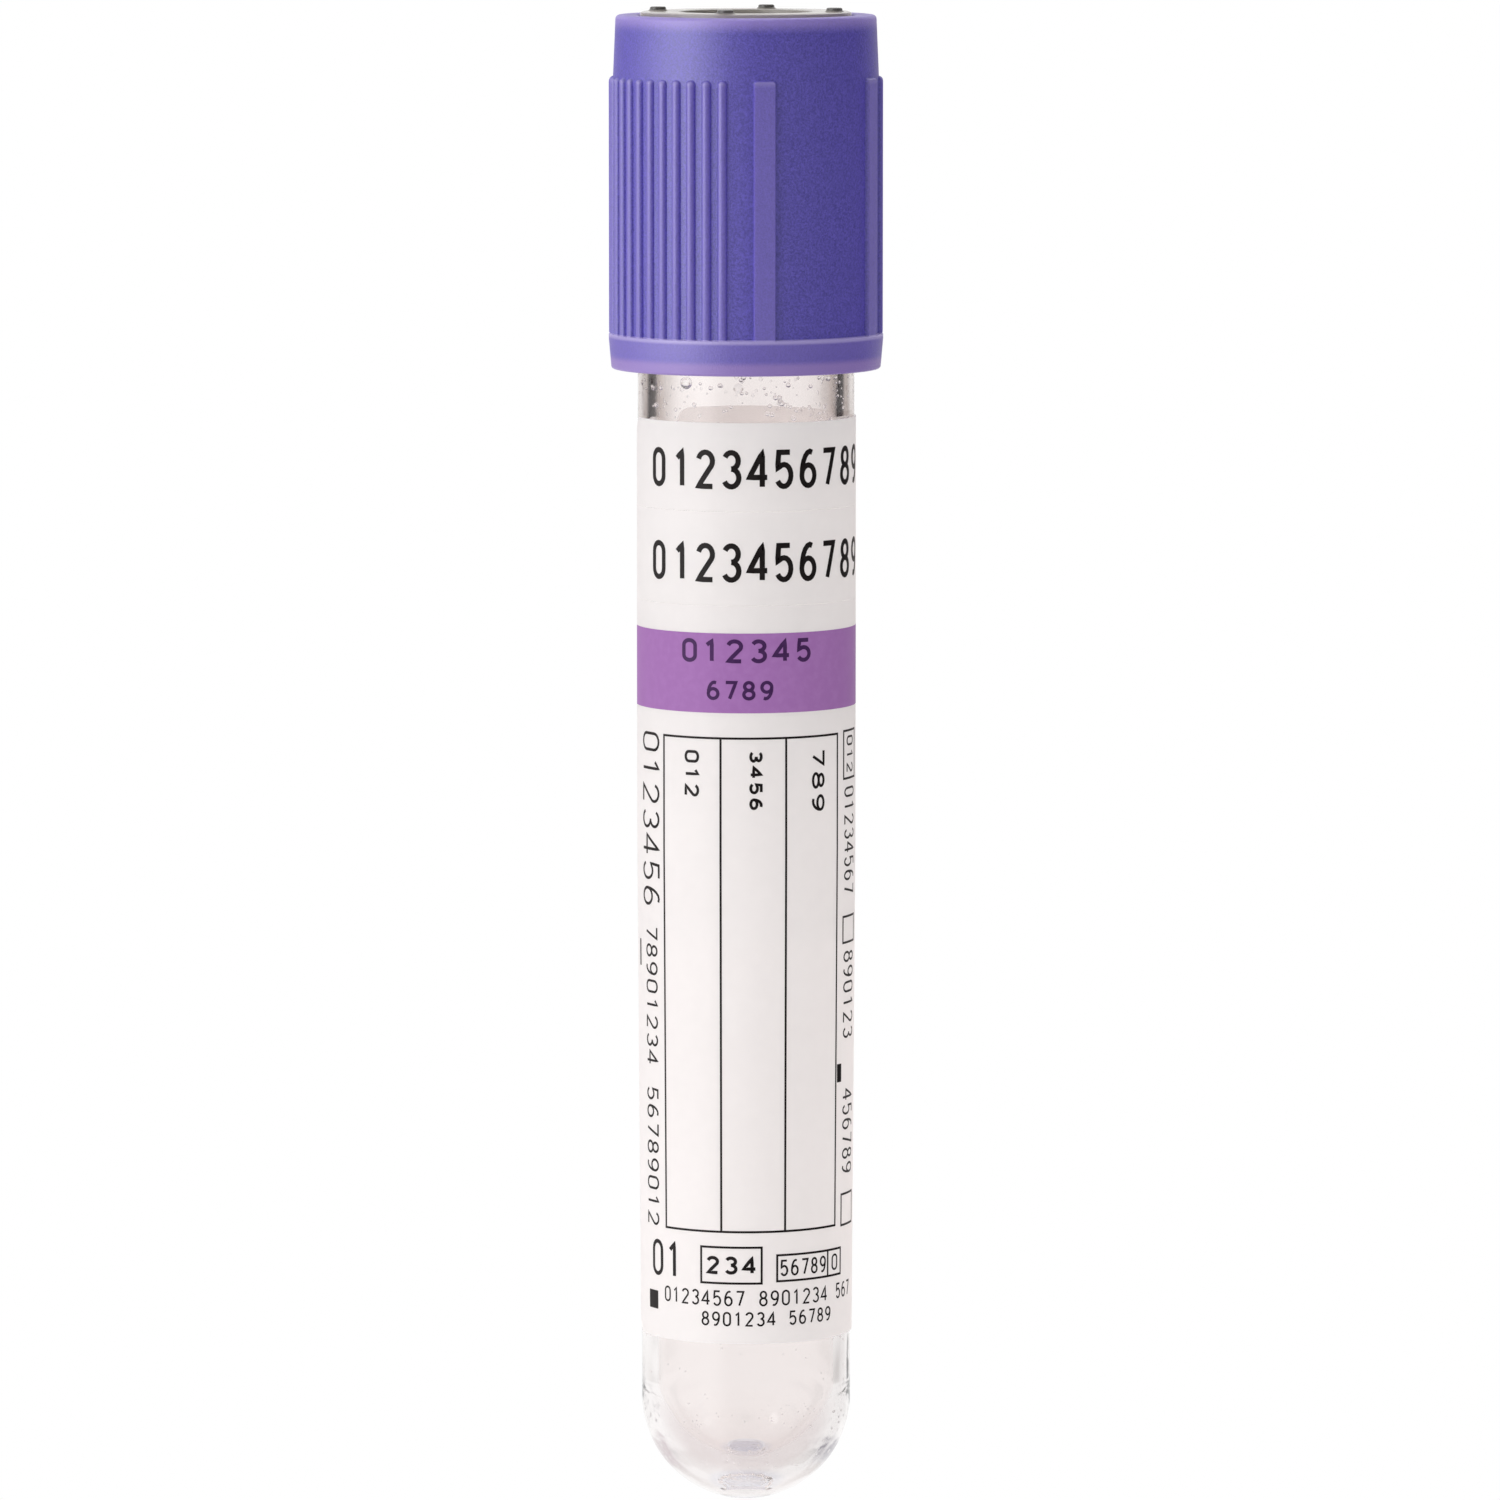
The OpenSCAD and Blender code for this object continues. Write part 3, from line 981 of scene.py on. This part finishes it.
def pale_card():
    """Pale card, seen white from above apart from shadows. From below, and for lamps, glass and
    gloss, it is clear, and they meet the white beyond it."""
    card = Finish("pale card")
    matt = card.node("ShaderNodeBsdfDiffuse", {}, {"Color": swatch(244, 243, 242)})
    glow = card.node("ShaderNodeEmission", {}, {"Color": WHITE, "Strength": floor_glow})
    lifted = card.node("ShaderNodeAddShader", {}, {0: matt, 1: glow})
    camera, diffuse = (card.node("ShaderNodeLightPath", out=f"Is {ray} Ray")
                       for ray in ("Camera", "Diffuse"))
    shader = card.node("ShaderNodeMixShader", {}, {0: camera, 1: matt, 2: lifted})
    above = 1 - card.node("ShaderNodeNewGeometry", out="Backfacing")
    clear = card.node("ShaderNodeBsdfTransparent")
    shown = above * camera.math("MAXIMUM", camera, diffuse)
    return card.finished(card.node("ShaderNodeMixShader", {}, {0: shown, 1: clear, 2: shader}))


floor_mesh = bpy.data.meshes.new("floor")
corners = [(-floor_half, -floor_half, 0), (floor_half, -floor_half, 0),
           (floor_half, floor_half, 0), (-floor_half, floor_half, 0)]
floor_mesh.from_pydata(corners, [], [(0, 1, 2, 3)])
floor_mesh.materials.append(pale_card())
floor = bpy.data.objects.new("floor", floor_mesh)
bpy.context.scene.collection.objects.link(floor)

fill_strength = 0.8
fill_loss = 0.1
# Two soft boxes that only gloss shows: the way to each, its radius in degrees and its extra light.
gleams = (
    ((0.66, -0.66, 0.359), 6, 0.7),
    ((-0.503, -0.808, 0.308), 7, 0.5),
)


def studio_light(owner):
    """The world is white to the camera, and a little less bright as fill, least on the right.
    Clear pieces show grey screens and two dark flags level behind the tube, a haze lower down
    at the sides and a warm tone overhead. Gloss shows them too, and the dark room behind the
    camera and on its right, with the two soft boxes."""
    sky = Finish("studio", owner)
    way = sky.node("ShaderNodeTexCoord", out="Generated")
    x, y, z = (sky.node("ShaderNodeSeparateXYZ", {}, {0: way}, out=axis) for axis in "XYZ")
    leftward = y.math("ARCTAN2", x, y) * (180 / math.pi)
    aside = leftward.math("ABSOLUTE", leftward)
    facing = x.math("ARCTAN2", x, 0 - y) * (180 / math.pi)
    level = z.rises(-0.12, -0.06) * z.rises(0.17, 0.125)
    screens = aside.rises(2, 27) * aside.rises(85, 60) * level
    flags = (leftward.rises(27, 39) + leftward.rises(-33, -41)) * aside.rises(66, 56) * level
    haze = z.rises(-0.245, -0.18) * z.rises(-0.05, -0.09) * aside.rises(125, 95)
    shown = sky.blend(0.9 * screens, WHITE, swatch(176, 164, 158))
    shown = sky.blend(0.45 * z.rises(0.4, 0.8), shown, swatch(206, 190, 190))
    shown = sky.blend(flags, shown, swatch(34, 26, 28))
    shown = sky.blend(haze * leftward.rises(35, 70), shown, swatch(150, 148, 160))
    shown = sky.blend(haze * leftward.rises(-25, -50), shown, swatch(212, 202, 206))
    glossy, through = (sky.node("ShaderNodeLightPath", out=f"Is {ray} Ray")
                       for ray in ("Glossy", "Transmission"))
    mirrored = glossy * (1 - through)
    room = facing.rises(-150, -125) * facing.rises(40, 15) * mirrored
    shown = sky.blend(0.95 * room, shown, swatch(30, 28, 30))
    shown = sky.blend(sky.node("ShaderNodeLightPath", out="Is Camera Ray"), shown, WHITE)
    shown_strength = 1.0
    for place, size, power in gleams:
        settings = {"operation": "DOT_PRODUCT"}
        near = sky.node("ShaderNodeVectorMath", settings, {0: way, 1: place}, out="Value")
        edge = math.cos(math.radians(size))
        core = math.cos(math.radians(0.5 * size))
        box = near.rises(edge, core) * mirrored
        shown = sky.blend(box, shown, WHITE)
        shown_strength = shown_strength + power * box
    fill = fill_strength - fill_loss * x.rises(0.6, -0.9)
    unseen_light = sky.node("ShaderNodeBackground", {}, {"Color": WHITE, "Strength": fill})
    seen_light = sky.node("ShaderNodeBackground", {}, {"Color": shown, "Strength": shown_strength})
    light = sky.node("ShaderNodeMixShader", {}, {0: seen(sky), 1: unseen_light, 2: seen_light})
    return sky.finished(light, "World")


bpy.context.scene.world = bpy.context.scene.world or bpy.data.worlds.new("studio")
studio_light(bpy.context.scene.world)


def soft_box(lamp):
    """The cloth of a soft box, brightest in the middle. Its mean is that of an even lamp."""
    cloth = Finish("soft box", lamp)
    place = cloth.node("ShaderNodeNewGeometry", out="Parametric")
    edge = 0.4
    strength = 1.0
    for axis in "XY":
        across = cloth.node("ShaderNodeSeparateXYZ", {}, {0: place}, out=axis)
        strength = strength * across.rises(0, edge) * across.rises(1, 1 - edge) / (1 - edge)
    light = cloth.node("ShaderNodeEmission", {}, {"Color": WHITE, "Strength": strength})
    cloth.finished(light, "Light")


def add_lamp(name, place, aim, size, power):
    """Adds a soft square lamp that shines from its place at an aim. Clear pieces don't show it."""
    lamp = bpy.data.lights.new(name, "AREA")
    lamp.shape = "SQUARE"
    lamp.size = size
    lamp.energy = power
    soft_box(lamp)
    holder = bpy.data.objects.new(name, lamp)
    holder.location = place
    holder.rotation_mode = "QUATERNION"
    holder.rotation_quaternion = (Vector(aim) - Vector(place)).to_track_quat("-Z", "Y")
    holder.visible_transmission = False
    bpy.context.scene.collection.objects.link(holder)


tube_middle = (0, 0, bottom_level / 2)
add_lamp("key_lamp", (0.488, -0.282, -0.16), tube_middle, size=0.8, power=1.64)
add_lamp("under_lamp", (0, 0, -0.3), (0, 0, 0), size=0.3, power=0.15)

# The camera hangs upside down, as the tube does, so that the cap comes out on top. It looks at
# the tube's side from a little beyond the cap, through the floor.
camera_place = Vector((-0.239, -600, -18.71)) * MM
camera_tilt = math.radians(6.02)
camera = bpy.data.cameras.new("camera")
camera.lens = 240.86
camera.sensor_width = 36
camera.clip_start = 0.01
camera.clip_end = 10
camera_holder = bpy.data.objects.new("camera", camera)
look = Vector((0, math.cos(camera_tilt), math.sin(camera_tilt)))
half_turn = Quaternion((0, 0, 1), math.pi)
camera_holder.location = camera_place
camera_holder.rotation_mode = "QUATERNION"
camera_holder.rotation_quaternion = look.to_track_quat("-Z", "Y") @ half_turn
bpy.context.scene.collection.objects.link(camera_holder)
bpy.context.scene.camera = camera_holder
bpy.context.scene.view_settings.view_transform = "Standard"

# Light goes round and round in the wall of a clear tube before it comes out.
bpy.context.scene.cycles.max_bounces = 24
bpy.context.scene.cycles.glossy_bounces = 16
bpy.context.scene.cycles.transmission_bounces = 24
